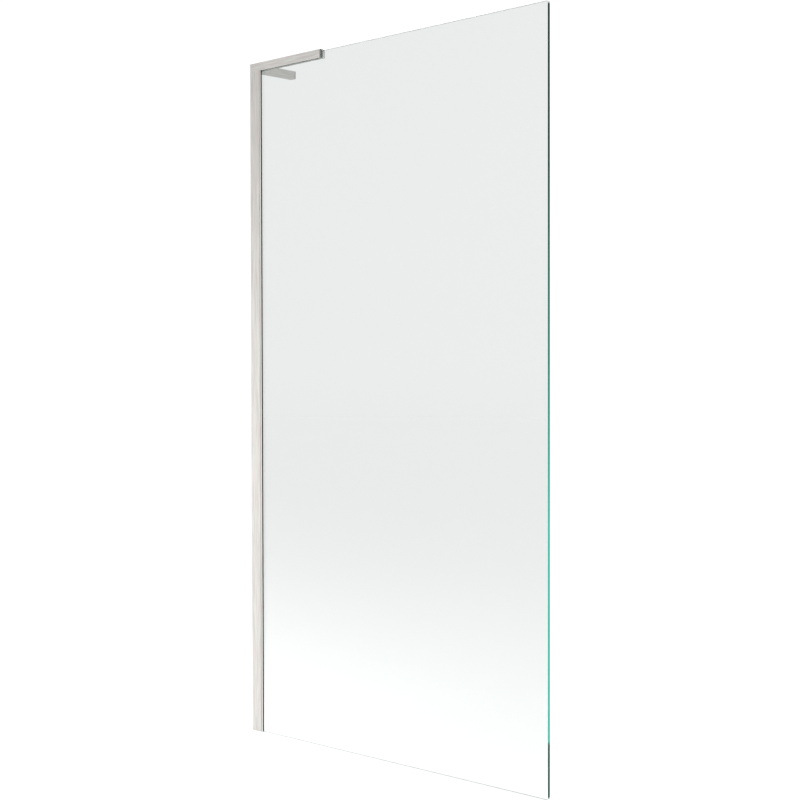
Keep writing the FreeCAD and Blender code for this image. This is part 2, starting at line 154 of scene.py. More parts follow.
class Nodes:
    """A node tree under construction, with short ways to add and join nodes."""

    def __init__(self, tree: bpy.types.NodeTree) -> None:
        """Take up a tree."""
        self.tree = tree

    def add(self, kind: str, feeds: Feeds | None = None, **settings: object) -> bpy.types.Node:
        """Add a node.

        Args:
            kind: The node's type.
            feeds: What goes into its inputs, by their names or numbers.
            **settings: Attributes to set on it.

        Returns:
            The new node.
        """
        node = self.tree.nodes.new(kind)
        for key, value in settings.items():
            setattr(node, key, value)
        for key, value in (feeds or {}).items():
            self.join(value, node.inputs[key])
        return node

    def join(self, source: object, target: Socket) -> None:
        """Link an output to an input, or set the input to a constant.

        Args:
            source: The output or the constant.
            target: The input.
        """
        if isinstance(source, Socket):
            self.tree.links.new(source, target)
        else:
            target.default_value = source


class Shader(Nodes):
    """The node tree of a material or of the world."""

    def __init__(self, owner: Material | bpy.types.World, output: str = "ShaderNodeOutputMaterial") -> None:
        """Empty the owner's tree down to its output.

        Args:
            owner: The material or the world.
            output: Type of its output node.
        """
        owner.use_nodes = True
        super().__init__(owner.node_tree)
        self.tree.nodes.clear()
        self.output = self.add(output)

    def where(self) -> Socket:
        """Object coordinates; in the world's tree they are the direction that is looked in."""
        return self.add("ShaderNodeTexCoord").outputs["Object"]

    def coordinate(self, axis: str) -> Socket:
        """One of the object coordinates."""
        return self.add("ShaderNodeSeparateXYZ", {"Vector": self.where()}).outputs[axis]

    def normal(self) -> Socket:
        """The surface's own normal."""
        return self.add("ShaderNodeNewGeometry").outputs["Normal"]

    def calc(self, operation: str, *values: object) -> Socket:
        """Work something out from outputs and constants."""
        return self.add("ShaderNodeMath", dict(enumerate(values)), operation=operation).outputs[0]

    def product(self, kind: str, first: Spot | Socket, second: Spot | Socket) -> bpy.types.NodeOutputs:
        """Multiply two vectors as a DOT or a CROSS product."""
        return self.add("ShaderNodeVectorMath", {0: first, 1: second}, operation=kind + "_PRODUCT").outputs

    def streaks(self, grain: Along, width: float, length: float, detail: float = 2.0) -> Socket:
        """Noise drawn out along a grain, on object coordinates.

        Args:
            grain: Direction of the streaks.
            width: Size of a streak across the grain, in metres.
            length: Size of a streak along the grain, in metres.
            detail: Octaves of finer noise.

        Returns:
            The noise value, 0 to 1.
        """
        along = Vector(grain.value)
        across = Vector((1.0, 1.0, 1.0)) - along
        scale = across / width + along / length
        drawn = self.add("ShaderNodeMapping", {"Vector": self.where(), "Scale": scale}).outputs["Vector"]
        noise = {"Vector": drawn, "Scale": 1.0, "Detail": detail}
        return self.add("ShaderNodeTexNoise", noise).outputs["Fac"]

    def clouds(self, size: float, detail: float = 3.0) -> Socket:
        """Even noise with patches of one size, in metres, on object coordinates."""
        return self.streaks(Along.UPRIGHT, size, size, detail)

    def ramp(self, value: Socket, stops: Ramp) -> Socket:
        """Turn a value into a colour.

        Args:
            value: The value, 0 to 1.
            stops: Places and colours, in rising order.

        Returns:
            The colour.
        """
        node = self.add("ShaderNodeValToRGB", {"Fac": value})
        elements = node.color_ramp.elements
        elements.remove(elements[1])
        elements[0].position, elements[0].color = stops[0]
        for position, shade in stops[1:]:
            elements.new(position).color = shade
        return node.outputs["Color"]

    def blended(self, noise: Socket, low: Colour, high: Colour, middle: Pair = NOISE_MIDDLE) -> Socket:
        """Run from one colour to another over the middle of a noise, where most of it lies."""
        return self.ramp(noise, ((middle[0], low), (middle[1], high)))

    def mapped(self, value: Socket, start: float, end: float, low: float = 0.0, high: float = 1.0) -> Socket:
        """Map a value from the range start to end to the range low to high, and hold it there."""
        feeds = {"Value": value, "From Min": start, "From Max": end, "To Min": low, "To Max": high}
        return self.add("ShaderNodeMapRange", feeds).outputs["Result"]

    def spread(self, noise: Socket, low: float, high: float) -> Socket:
        """Map the middle of a noise, where most of it lies, to a range of values."""
        return self.mapped(noise, *NOISE_MIDDLE, low, high)

    def front_share(self, front: float, rear: float) -> Socket:
        """A share that falls across the glass's thickness, from 1 at the front place to 0 at the rear one."""
        return self.mapped(self.coordinate("Y"), front, rear, 1.0, 0.0)

    def mixed(self, share: float | Socket, first: Socket, second: Socket, blend: str = "MIX") -> Socket:
        """Lay a share of the second colour over the first."""
        feeds = {"Factor": share, "A": first, "B": second}
        return self.add("ShaderNodeMix", feeds, data_type="RGBA", blend_type=blend).outputs["Result"]

    def relief(self, height: Socket, depth: float) -> Socket:
        """The normal bumped by a height of 0 to 1, over a depth in metres."""
        feeds = {"Strength": 1.0, "Distance": depth, "Height": height}
        return self.add("ShaderNodeBump", feeds).outputs["Normal"]

    def surface(self, **values: object) -> None:
        """Finish with a principled shader, its inputs by name with underscores for spaces."""
        feeds = {key.replace("_", " "): value for key, value in values.items()}
        self.join(self.add("ShaderNodeBsdfPrincipled", feeds).outputs["BSDF"], self.output.inputs["Surface"])

    def glow(self, kind: str, height: Socket, levels: tuple[Pair, ...], brightest: float) -> None:
        """Finish with light that changes with a height.

        Args:
            kind: Type of the node that gives the light.
            height: The height, 0 to 1.
            levels: Heights and levels of light, in rising order.
            brightest: A level that none of them passes.
        """
        stops = tuple((place, grey(level / brightest)) for place, level in levels)
        light = self.add(kind, {"Color": self.ramp(height, stops), "Strength": brightest})
        self.join(light.outputs[0], self.output.inputs["Surface"])


class NodeTree(Nodes):
    """A Geometry Nodes tree under construction, with named inputs."""

    def __init__(self, name: str, inputs: dict[str, str]) -> None:
        """Start a tree that takes and gives geometry.

        Args:
            name: The tree's name.
            inputs: Names and socket types, such as Float or Vector, of its other inputs.
        """
        super().__init__(bpy.data.node_groups.new(name, "GeometryNodeTree"))
        self.source = self.add("NodeGroupInput")
        self.result = self.add("NodeGroupOutput")
        self.identifiers: dict[str, str] = {}
        for way in ("INPUT", "OUTPUT"):
            self.tree.interface.new_socket("Geometry", in_out=way, socket_type="NodeSocketGeometry")
        for key, kind in inputs.items():
            socket = self.tree.interface.new_socket(key, in_out="INPUT", socket_type="NodeSocket" + kind)
            self.identifiers[key] = socket.identifier

    def finish(self, geometry: Socket) -> None:
        """Close the tree: make instances real and set the material.

        Args:
            geometry: What the tree made.
        """
        real = self.add("GeometryNodeRealizeInstances", {"Geometry": geometry})
        coated = self.add("GeometryNodeSetMaterial", {
            "Geometry": real.outputs["Geometry"], "Material": self.source.outputs["Material"],
        })
        self.join(coated.outputs["Geometry"], self.result.inputs[0])

    def apply(self, name: str, mesh: Mesh, **values: object) -> Piece:
        """Run the tree on a mesh.

        Args:
            name: Name of the piece that it makes.
            mesh: The mesh that it starts from.
            **values: The tree's inputs by name.

        Returns:
            The piece as a plain mesh at the origin.
        """
        maker = new_object(name + "_maker", mesh)
        modifier = maker.modifiers.new("Maker", "NODES")
        modifier.node_group = self.tree
        for key, value in values.items():
            modifier[self.identifiers[key]] = value
        graph = bpy.context.evaluated_depsgraph_get()
        made = bpy.data.meshes.new_from_object(maker.evaluated_get(graph))
        made.name = name
        maker.modifiers.remove(modifier)
        bpy.data.objects.remove(maker)
        return new_object(name, made)


class RowTree(NodeTree):
    """Copies of one small part in a straight row, each turned on its own axis by chance."""

    def __init__(self) -> None:
        """Build the tree."""
        super().__init__("Row of parts", {
            "First": "Vector", "Step": "Vector", "Count": "Int", "Facing": "Vector",
            "Spin": "Float", "Seed": "Int", "Material": "Material",
        })
        asked = self.source.outputs
        line = self.add("GeometryNodeMeshLine", {
            "Count": asked["Count"], "Start Location": asked["First"], "Offset": asked["Step"],
        }, mode="OFFSET")
        facing = self.add("FunctionNodeEulerToRotation", {0: asked["Facing"]})
        chance = self.add("FunctionNodeRandomValue", {"Seed": asked["Seed"]}, data_type="FLOAT")
        most = next(s for s in chance.inputs if s.name == "Max" and s.type == "VALUE")
        self.join(asked["Spin"], most)
        angle = next(s for s in chance.outputs if s.type == "VALUE")
        spin = self.add("FunctionNodeAxisAngleToRotation", {"Axis": Along.UPRIGHT.value, "Angle": angle})
        both = {0: facing.outputs[0], 1: spin.outputs[0]}
        turn = self.add("FunctionNodeRotateRotation", both, rotation_space="LOCAL")
        copies = self.add("GeometryNodeInstanceOnPoints", {
            "Points": line.outputs["Mesh"], "Instance": asked["Geometry"], "Rotation": turn.outputs[0],
        })
        self.finish(copies.outputs["Instances"])

    def fill(self, node: str, mesh: Mesh, seat: float, radius: float, material: Material) -> None:
        """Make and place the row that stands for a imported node.

        Args:
            node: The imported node.
            mesh: One part, upright at the origin.
            seat: Place of the parts' origin on their own axis.
            radius: Half of a part's size along the row.
            material: Their material.
        """
        batch = BATCHES[node]
        low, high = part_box(node)
        axis, turn = batch.facing.value
        along = Vector(batch.along.value)
        centre = (low + high) / 2
        centre[axis] = seat
        reach = (high - low).dot(along) / 2 - radius
        step = along * (2 * reach / (batch.count - 1))
        piece = self.apply(
            batch.name, mesh, First=tuple(centre - along * reach), Step=tuple(step), Count=batch.count,
            Facing=turn, Spin=batch.spin, Seed=batch.seed, Material=material,
        )
        place(piece, batch.body, batch.slot, node)


class StripTree(NodeTree):
    """A flat section drawn out along a straight run into a closed strip."""

    def __init__(self, merge: float = 0.001 * MM) -> None:
        """Build the tree.

        Args:
            merge: Distance within which points are merged.
        """
        super().__init__("Strip along a run", {"Run": "Vector", "Material": "Material"})
        asked = self.source.outputs
        drawn = self.add("GeometryNodeExtrudeMesh", {
            "Mesh": asked["Geometry"], "Offset": asked["Run"], "Offset Scale": 1.0, "Individual": False,
        }, mode="FACES")
        whole = self.add("GeometryNodeJoinGeometry")
        for part in (drawn.outputs["Mesh"], asked["Geometry"]):
            self.join(part, whole.inputs[0])
        merged = self.add("GeometryNodeMergeByDistance", {"Geometry": whole.outputs[0], "Distance": merge})
        self.finish(merged.outputs["Geometry"])


# ---- Finishes ----


@dataclass(frozen=True)
class Finish:
    """What a piece is made of, as a material with a name."""

    name: str

    def material(self) -> Material:
        """Build the finish.

        Returns:
            The material.
        """
        material = bpy.data.materials.new(self.name)
        self.lay(Shader(material))
        return material

    def lay(self, shader: Shader) -> None:
        """Fill the material's tree, which each finish does in its own way."""
        raise NotImplementedError


@dataclass(frozen=True)
class PaintedShade:
    """Painted shade on the faces of a section that turn one way: ends, mouths or an underside.

    The painted shade fades out between two places across the glass, where they are given. A mark's two
    sizes are its width and length.
    """

    facing: Spot
    tone: float
    fade: Pair | None = None
    marks: Pair = (0.5 * MM, 6 * MM)
    marked: float = 0.85
    slant: Pair = (0.75, 0.90)

    def over(self, shader: Shader, base: Socket) -> Socket:
        """Paint shade on these faces.

        Args:
            shader: The material's tree.
            base: Colour of the brushed faces.

        Returns:
            The colour of all faces.
        """
        # Painted shade: the more a face turns to the facing, the darker it is painted.
        amount = shader.mapped(shader.product("DOT", shader.normal(), self.facing)["Value"], *self.slant)
        if self.fade:
            amount = shader.calc("MULTIPLY", amount, shader.front_share(*self.fade))
        marks = shader.streaks(Along.DEPTH, *self.marks)
        shade = shader.blended(marks, grey(self.tone * self.marked), grey(self.tone))
        return shader.mixed(amount, base, shade, "MULTIPLY")


@dataclass(frozen=True)
class BrushedSteel(Finish):
    """Satin stainless steel with a long brushed grain.

    The two sizes of a hair, a line and a cast of colour are their widths and lengths.
    """

    grain: Along
    dark: Colour = colour(0.635, 0.61, 0.595)
    light: Colour = colour(0.82, 0.80, 0.78)
    # Painted shade on the faces that turn one way, if given.
    painted_shade: PaintedShade | None = None
    hair: Pair = (0.35 * MM, 45 * MM)
    line: Pair = (1.6 * MM, 60 * MM)
    cast: Pair = (3.0 * MM, 50 * MM)
    warm: Colour = colour(1.0, 0.955, 0.955)
    cool: Colour = colour(0.955, 1.0, 0.965)
    hair_tone: float = 0.82
    roughness: Pair = (0.30, 0.44)
    pull: float = 0.7
    depth: float = 0.012 * MM

    def lay(self, shader: Shader) -> None:
        """Lay the brushed steel.

        Args:
            shader: The material's tree.
        """
        hair = shader.streaks(self.grain, *self.hair, detail=3.0)
        tone = shader.blended(shader.streaks(self.grain, *self.line), self.dark, self.light)
        hue = shader.blended(shader.streaks(self.grain, *self.cast), self.warm, self.cool, (0.40, 0.60))
        base = shader.mixed(1.0, tone, hue, "MULTIPLY")
        base = shader.mixed(1.0, base, shader.blended(hair, grey(self.hair_tone), grey(1.0)), "MULTIPLY")
        # Painted shade over the brushed colour.
        if self.painted_shade:
            base = self.painted_shade.over(shader, base)
        across = shader.product("CROSS", self.grain.value, shader.normal())
        shader.surface(
            Base_Color=base, Metallic=1.0, Roughness=shader.spread(hair, *self.roughness),
            Anisotropic=self.pull, Tangent=across[0], Normal=shader.relief(hair, self.depth),
        )


@dataclass(frozen=True)
class TurnedSteel(Finish):
    """Bright steel of screws, washers and drawn bars."""

    tone: Colour = grey(0.56)
    roughness: Pair = (0.24, 0.38)
    worn: Colour = colour(0.86, 0.86, 0.87)
    wear: float = 0.9 * MM
    pit: float = 0.25 * MM
    depth: float = 0.006 * MM

    def lay(self, shader: Shader) -> None:
        """Lay the bright steel.

        Args:
            shader: The material's tree.
        """
        wear = shader.clouds(self.wear)
        shader.surface(
            Base_Color=shader.blended(wear, shaded(self.tone, self.worn), self.tone, (0.35, 0.65)),
            Metallic=1.0, Roughness=shader.spread(wear, *self.roughness),
            Normal=shader.relief(shader.clouds(self.pit), self.depth),
        )


@dataclass(frozen=True)
class Rubber(Finish):
    """Matt extruded rubber, which may carry painted shade on the side in front of the glass."""

    tone: Colour = colour(0.014, 0.015, 0.015)
    # Colour of the painted shade in front of the glass, where given.
    front: Colour | None = None
    change: Pair = (-4.5 * MM, 0.0)
    dust: float = 1.5
    bloom: float = 6 * MM
    skin: float = 0.3 * MM
    depth: float = 0.02 * MM
    roughness: Pair = (0.55, 0.72)
    gloss: float = 0.25

    def lay(self, shader: Shader) -> None:
        """Lay the rubber.

        Args:
            shader: The material's tree.
        """
        bloom = shader.clouds(self.bloom)
        skin = shader.clouds(self.skin)
        base = shader.blended(bloom, self.tone, shaded(self.tone, grey(self.dust)), (0.35, 0.70))
        # Painted shade: the side in front of the glass runs to the front colour.
        if self.front:
            near = shader.blended(bloom, self.front, self.tone, (0.30, 1.0))
            base = shader.mixed(shader.front_share(*self.change), base, near)
        shader.surface(
            Base_Color=base, Roughness=shader.spread(skin, *self.roughness),
            Specular_IOR_Level=self.gloss, Normal=shader.relief(skin, self.depth),
        )


@dataclass(frozen=True)
class MouldedPlastic(Finish):
    """Moulded plastic with a fine spark-eroded skin."""

    tone: Colour
    roughness: Pair = (0.40, 0.50)
    metallic: float = 0.0
    streak_tone: float = 0.93
    flow: float = 4 * MM
    skin: float = 0.2 * MM
    depth: float = 0.01 * MM

    def lay(self, shader: Shader) -> None:
        """Lay the plastic.

        Args:
            shader: The material's tree.
        """
        flow = shader.clouds(self.flow)
        skin = shader.clouds(self.skin)
        low = shaded(self.tone, grey(self.streak_tone))
        shader.surface(
            Base_Color=shader.blended(flow, low, self.tone, (0.35, 0.65)), Metallic=self.metallic,
            Roughness=shader.spread(skin, *self.roughness), Normal=shader.relief(skin, self.depth),
        )


@dataclass(frozen=True)
class ClearGlass(Finish):
    """Clear float glass, faintly green through its thickness and faintly wavy."""

    name: str = "clear_float_glass"
    tint: Colour = colour(0.225, 0.305, 0.265)
    density: float = 49.6
    index: float = 1.52
    wave: float = 260 * MM
    depth: float = 0.01 * MM

    def lay(self, shader: Shader) -> None:
        """Lay the glass.

        Args:
            shader: The material's tree.
        """
        shader.surface(
            Base_Color=grey(1.0), Roughness=0.0, IOR=self.index, Transmission_Weight=1.0,
            Normal=shader.relief(shader.clouds(self.wave, 1.0), self.depth),
        )
        body = shader.add("ShaderNodeVolumeAbsorption", {"Color": self.tint, "Density": self.density})
        shader.join(body.outputs["Volume"], shader.output.inputs["Volume"])


@dataclass(frozen=True)
class PolishedEdge(Finish):
    """Polished edge of the glass, green of its own: deep green above, clearer where it catches the floor,
    with painted light in that clearer band and painted reflection in pale rims at the foot and the top.
    """

    name: str = "polished_glass_edge"
    height: float = 1.497
    painted_light_start: float = 0.1105
    soft: float = 0.004
    rim: float = 0.0006
    foot_painted_reflection: Colour = colour(0.92, 0.97, 0.955)
    head_painted_reflection: Colour = colour(0.86, 0.93, 0.90)
    index: float = 1.52
    gloss: float = 0.05
    roughness: Pair = (0.14, 0.24)
    lines: Pair = (0.2 * MM, 30 * MM)
    depth: float = 0.004 * MM

    def lay(self, shader: Shader) -> None:
        """Lay the edge's greens with their painted light and painted reflection, from the foot to the top.

        Args:
            shader: The material's tree.
        """
        foot = self.painted_light_start / self.height
        # Painted light up the edge: the bright band from its start to about half height. The pale rims at the
        # foot and the top are painted reflection.
        base = shader.ramp(shader.mapped(shader.coordinate("Z"), 0.0, self.height), (
            (0.0, self.foot_painted_reflection), (self.rim, self.foot_painted_reflection),
            (2 * self.rim, colour(0.004, 0.060, 0.042)),
            (foot - self.soft, colour(0.004, 0.075, 0.052)),
            (foot, colour(0.025, 0.420, 0.310)),
            (0.34, colour(0.020, 0.450, 0.340)),
            (0.55, colour(0.010, 0.210, 0.150)),
            (0.80, colour(0.005, 0.055, 0.035)),
            (1.0 - 2 * self.rim, colour(0.004, 0.028, 0.018)),
            (1.0 - self.rim, self.head_painted_reflection), (1.0, self.head_painted_reflection),
        ))
        lines = shader.streaks(Along.UPRIGHT, *self.lines)
        shader.surface(
            Base_Color=base, Roughness=shader.spread(lines, *self.roughness), IOR=self.index,
            Specular_IOR_Level=self.gloss, Normal=shader.relief(lines, self.depth),
        )


@dataclass(frozen=True)
class Pool:
    """Light on the floor that fades behind a line through the object's wall corner.

    In front of the line it is even, at a share of its strength on the line.
    """

    rise: float
    fade: float
    away: Pair
    in_front: float = 1.0


@dataclass(frozen=True)
class StudioFloor(Finish):
    """Plain pale light table with painted pools of light: brighter towards the front light and at the foot of
    the object.
    """

    name: str = "studio_floor"
    level: float = 0.55
    mottle: float = 0.006
    cloud: float = 1.7
    glow: float = 0.434
    pools: tuple[Pool, ...] = (
        Pool(0.331, 0.613, (0.390, 0.921)),
        Pool(0.36, 0.22, (0.0, 1.0), -0.2),
    )

    def lay(self, shader: Shader) -> None:
        """Lay the floor with its pools of light.

        Args:
            shader: The material's tree.
        """
        strength = self.glow
        # Painted pools of light, added to the even glow.
        for pool in self.pools:
            steps = shader.product("DOT", shader.where(), Vector((*pool.away, 0.0)) / -pool.fade)["Value"]
            fall = shader.calc("EXPONENT", shader.calc("MINIMUM", steps, 0.0))
            behind = shader.calc("LESS_THAN", steps, 0.0)
            share = shader.calc("MULTIPLY_ADD", behind, 1.0 - pool.in_front, pool.in_front)
            strength = shader.calc("MULTIPLY_ADD", shader.calc("MULTIPLY", fall, share), pool.rise, strength)
        low, high = grey(self.level - self.mottle), grey(self.level)
        shader.surface(
            Base_Color=shader.blended(shader.clouds(self.cloud), low, high), Roughness=1.0,
            Specular_IOR_Level=0.0, Emission_Color=grey(1.0), Emission_Strength=strength,
        )


# ---- Meshes ----


@dataclass(frozen=True)
class Ring:
    """One ring of a turned shape."""

    radius: float
    height: float
    hexagonal: bool = False

    def reach(self, angle: float) -> float:
        """Distance from the axis; a hexagonal ring's radius is half its width across flats.

        Args:
            angle: Where on the ring.

        Returns:
            The distance.
        """
        if not self.hexagonal:
            return self.radius
        sector = math.pi / 3
        off_flat = (angle + sector / 2) % sector - sector / 2
        return self.radius / math.cos(sector / 2 - abs(off_flat))


def new_object(name: str, data: bpy.types.ID) -> Piece:
    """Put a mesh, camera or light in the scene.

    Args:
        name: The object's name.
        data: What it holds.

    Returns:
        The object, at the origin.
    """
    piece = bpy.data.objects.new(name, data)
    bpy.context.scene.collection.objects.link(piece)
    return piece


def finished(work: bmesh.types.BMesh, name: str) -> Mesh:
    """Turn a shape under construction into a mesh.

    Args:
        work: The shape, which is used up.
        name: The mesh's name.

    Returns:
        The mesh.
    """
    mesh = bpy.data.meshes.new(name)
    work.to_mesh(mesh)
    work.free()
    return mesh


def outward(mesh: Mesh, merge: float = 1e-7) -> None:
    """Merge a closed mesh's doubles and turn its faces outwards.

    Args:
        mesh: The mesh.
        merge: Distance within which points are merged, in metres.
    """
    work = bmesh.new()
    work.from_mesh(mesh)
    bmesh.ops.remove_doubles(work, verts=work.verts, dist=merge)
    bmesh.ops.recalc_face_normals(work, faces=work.faces)
    work.to_mesh(mesh)
    work.free()


def skinned(name: str, loops: list[list[Spot]], closed: bool = False, wall_slot: int = 0) -> Mesh:
    """Skin a stack of loops that have the same number of points.

    Args:
        name: The mesh's name.
        loops: The points of each loop, in order.
        closed: Join the last loop to the first instead of filling both.
        wall_slot: Material slot of the faces between the loops.

    Returns:
        The mesh, with its faces outwards.
    """
    work = bmesh.new()
    stack = [[work.verts.new(point) for point in loop] for loop in loops]
    pairs = list(zip(stack, stack[1:]))
    if closed:
        pairs.append((stack[-1], stack[0]))
    else:
        work.faces.new(stack[0])
        work.faces.new(stack[-1])
    for first, second in pairs:
        for i in range(len(first)):
            j = (i + 1) % len(first)
            wall = work.faces.new((first[i], first[j], second[j], second[i]))
            wall.material_index = wall_slot
    mesh = finished(work, name)
    outward(mesh)
    return mesh


def turned(rings: list[Ring], closed: bool = False, segments: int = 36) -> Mesh:
    """Turn rings about the upright axis.

    Args:
        rings: The rings in order along the section.
        closed: Join the last ring to the first instead of filling both.
        segments: Divisions round the axis.

    Returns:
        The mesh.
    """
    angles = [FULL_TURN * i / segments for i in range(segments)]
    loops = [
        [(ring.reach(a) * math.cos(a), ring.reach(a) * math.sin(a), ring.height) for a in angles]
        for ring in rings
    ]
    return skinned("turned", loops, closed)


def arc(centre: Pair, radius: float, start: float, steps: int) -> list[Pair]:
    """Points along a quarter of a circle.

    Args:
        centre: Centre of the circle.
        radius: Its radius.
        start: The first point's angle.
        steps: Divisions.

    Returns:
        The points, both ends among them.
    """
    turns = [start + QUARTER_TURN * i / steps for i in range(steps + 1)]
    return [(centre[0] + radius * math.cos(t), centre[1] + radius * math.sin(t)) for t in turns]


def dress(piece: Piece, *materials: Material) -> None:
    """Give a piece its materials, slot by slot, in place of any that it has.

    Args:
        piece: The piece.
        *materials: The materials.
    """
    slots = piece.data.materials
    while len(slots) > len(materials):
        slots.pop()
    while len(slots) < len(materials):
        slots.append(None)
    for i, material in enumerate(materials):
        slots[i] = material
    log.info("%s dressed in %s", piece.name, ", ".join(material.name for material in materials))


def half_width(node: str) -> float:
    """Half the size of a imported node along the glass."""
    low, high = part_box(node)
    return (high.x - low.x) / 2


def place(piece: Piece, body: Body, slot: str, node: str) -> None:
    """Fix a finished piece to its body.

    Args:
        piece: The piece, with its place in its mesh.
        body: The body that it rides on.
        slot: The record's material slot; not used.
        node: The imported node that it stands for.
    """
    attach(piece, body.value)
    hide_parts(node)
    log.info("%s on %s, %d faces", piece.name, body.value, len(piece.data.polygons))


# ---- Sub-assemblies ----


@dataclass(frozen=True)
class GasketSection:
    """Section of a gasket beside the glass.

    It runs from its tail, inside the profile, to its nose, and from the glass's face to the wall of
    the profile at its back.
    """

    tail: float
    nose: float
    glass: float
    back: float
    ridges: int = 3
    ridge: float = 0.12 * MM
    ridge_steps: int = 6
    fin: float = 2.4 * MM
    fin_tip: float = 0.4 * MM
    fin_hollow: float = 0.25 * MM
    fin_steps: int = 8
    valley: float = 0.8 * MM
    foot: float = 2.6 * MM
    hook_inset: float = 2.1 * MM
    hook_width: float = 1.4 * MM
    hook_height: float = 0.9 * MM

    def hooked(self, mouth: float) -> list[Pair]:
        """The side that hooks behind the profile's bead.

        Args:
            mouth: Place of the profile's mouth.

        Returns:
            The points from the mouth to the tail's foot on the glass.
        """
        notch = mouth - self.hook_inset
        ledge = self.back - self.hook_height
        return [
            (notch, self.back),
            (notch - self.hook_width / 3, ledge),
            (notch - self.hook_width, ledge),
            (notch - self.hook_width, self.back),
            (self.tail, self.back),
            (self.tail + self.valley, self.glass),
        ]

    def finned(self) -> list[Pair]:
        """The gasket behind the glass, with a hollow-cheeked fin outside the profile.

        Returns:
            The outline's points.
        """
        mouth = self.nose - self.fin
        tip = Vector((self.nose, self.glass + self.fin_tip))
        root = Vector((mouth, self.back))
        inwards = Vector((tip.y - root.y, root.x - tip.x)).normalized()
        cheek = []
        for i in range(self.fin_steps + 1):
            share = i / self.fin_steps
            hollow = inwards * (self.fin_hollow * math.sin(math.pi * share))
            cheek.append(tuple(tip.lerp(root, share) + hollow))
        return [(self.nose, self.glass)] + cheek + self.hooked(mouth)

    def footed(self) -> list[Pair]:
        """The gasket in front of the glass, with a ridged nose and two feet.

        Returns:
            The outline's points.
        """
        steps = self.ridges * self.ridge_steps
        front = []
        for i in range(steps + 1):
            share = i / steps
            hollow = self.ridge * (1 - abs(math.sin(math.pi * self.ridges * share)))
            front.append((self.nose - hollow, self.glass + (self.back - self.glass) * share))
        return front + self.hooked(self.nose) + [
            (self.tail + self.foot, self.glass),
            (self.tail + self.foot + self.valley, self.glass + self.valley),
            (self.nose - self.foot - self.valley, self.glass + self.valley),
            (self.nose - self.foot, self.glass),
        ]


@dataclass
class GlassPanel:
    """The pane, its gaskets and the spacers under its edge, with the trees that make them."""

    strip: StripTree
    row: RowTree
    rubber: Finish = Rubber("glazing_rubber")
    plastic: Finish = MouldedPlastic("spacer_plastic", colour(0.50, 0.53, 0.51))
    arris: float = 0.12 * MM
    corner: float = 1.5 * MM
    corner_steps: int = 8
    spacer_length: float = 60 * MM
    spacer_soft: float = 0.3 * MM

    def build(self) -> None:
        """Build and place the pieces."""
        self.pane()
        rubber = self.rubber.material()
        self.gasket("rear_gasket", rubber)
        self.gasket("front_gasket", rubber)
        self.spacers()

    def pane(self) -> None:
        """The pane, with clear faces and a green polished edge."""
        low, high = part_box("glass_pane")
        left, right = low.x + self.corner, high.x - self.corner
        foot, head = low.z + self.corner, high.z - self.corner
        centres = ((right, head), (left, head), (left, foot), (right, foot))
        loops = []
        for y, inset in (
            (low.y, self.arris), (low.y + self.arris, 0.0), (high.y - self.arris, 0.0), (high.y, self.arris),
        ):
            corners = [
                arc(centre, self.corner - inset, QUARTER_TURN * i, self.corner_steps)
                for i, centre in enumerate(centres)
            ]
            loops.append([(x, y, z) for corner in corners for x, z in corner])
        piece = new_object("glass", skinned("glass", loops, wall_slot=1))
        dress(piece, ClearGlass().material(), PolishedEdge(height=high.z).material())
        place(piece, GLASS_PANEL, "clear_glass", "glass_pane")

    def gasket(self, node: str, rubber: Material) -> None:
        """One glazing gasket: a ridged nose in front of the glass, or a fin behind it.

        Args:
            node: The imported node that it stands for.
            rubber: Its material.
        """
        low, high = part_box(node)
        if low.y > 0:
            side = 1.0
            section = GasketSection(low.x, high.x, low.y, high.y).finned()
        else:
            side = -1.0
            section = GasketSection(low.x, high.x, -high.y, -low.y).footed()
        work = bmesh.new()
        work.faces.new([work.verts.new((x, side * y, low.z)) for x, y in section])
        run = (0.0, 0.0, high.z - low.z)
        piece = self.strip.apply(node + "_strip", finished(work, node), Run=run, Material=rubber)
        outward(piece.data)
        place(piece, GLASS_PANEL, "gasket_rubber", node)

    def spacers(self) -> None:
        """The blocks between the glass edge and the profile."""
        low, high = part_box("edge_spacers")
        size = Matrix.Diagonal((high.x - low.x, high.y - low.y, self.spacer_length, 1.0))
        work = bmesh.new()
        bmesh.ops.create_cube(work, size=1.0, matrix=size)
        bmesh.ops.bevel(work, geom=work.edges, offset=self.spacer_soft, segments=2, affect="EDGES")
        middle, half = (low.z + high.z) / 2, self.spacer_length / 2
        self.row.fill("edge_spacers", finished(work, "spacer"), middle, half, self.plastic.material())


@dataclass
class SoftCopy:
    """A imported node's shape with its hard edges rounded, for moulded and rubber parts."""

    node: str
    name: str
    body: Body
    slot: str
    radius: float = 0.25 * MM
    steps: int = 2
    merge: float = 0.001 * MM
    flat: float = math.radians(3)
    sharp: float = math.radians(25)

    def build(self, material: Material) -> None:
        """Build and place the piece.

        Args:
            material: Its material.
        """
        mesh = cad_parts[self.node].data.copy()
        mesh.name = self.name
        outward(mesh, self.merge)
        work = bmesh.new()
        work.from_mesh(mesh)
        bmesh.ops.dissolve_limit(work, angle_limit=self.flat, verts=work.verts, edges=work.edges)
        edges = [e for e in work.edges if len(e.link_faces) == 2 and e.calc_face_angle(0.0) > self.sharp]
        bmesh.ops.bevel(
            work, geom=edges, offset=self.radius, segments=self.steps, affect="EDGES", clamp_overlap=True,
        )
        work.to_mesh(mesh)
        work.free()
        piece = new_object(self.name, mesh)
        dress(piece, material)
        place(piece, self.body, self.slot, self.node)


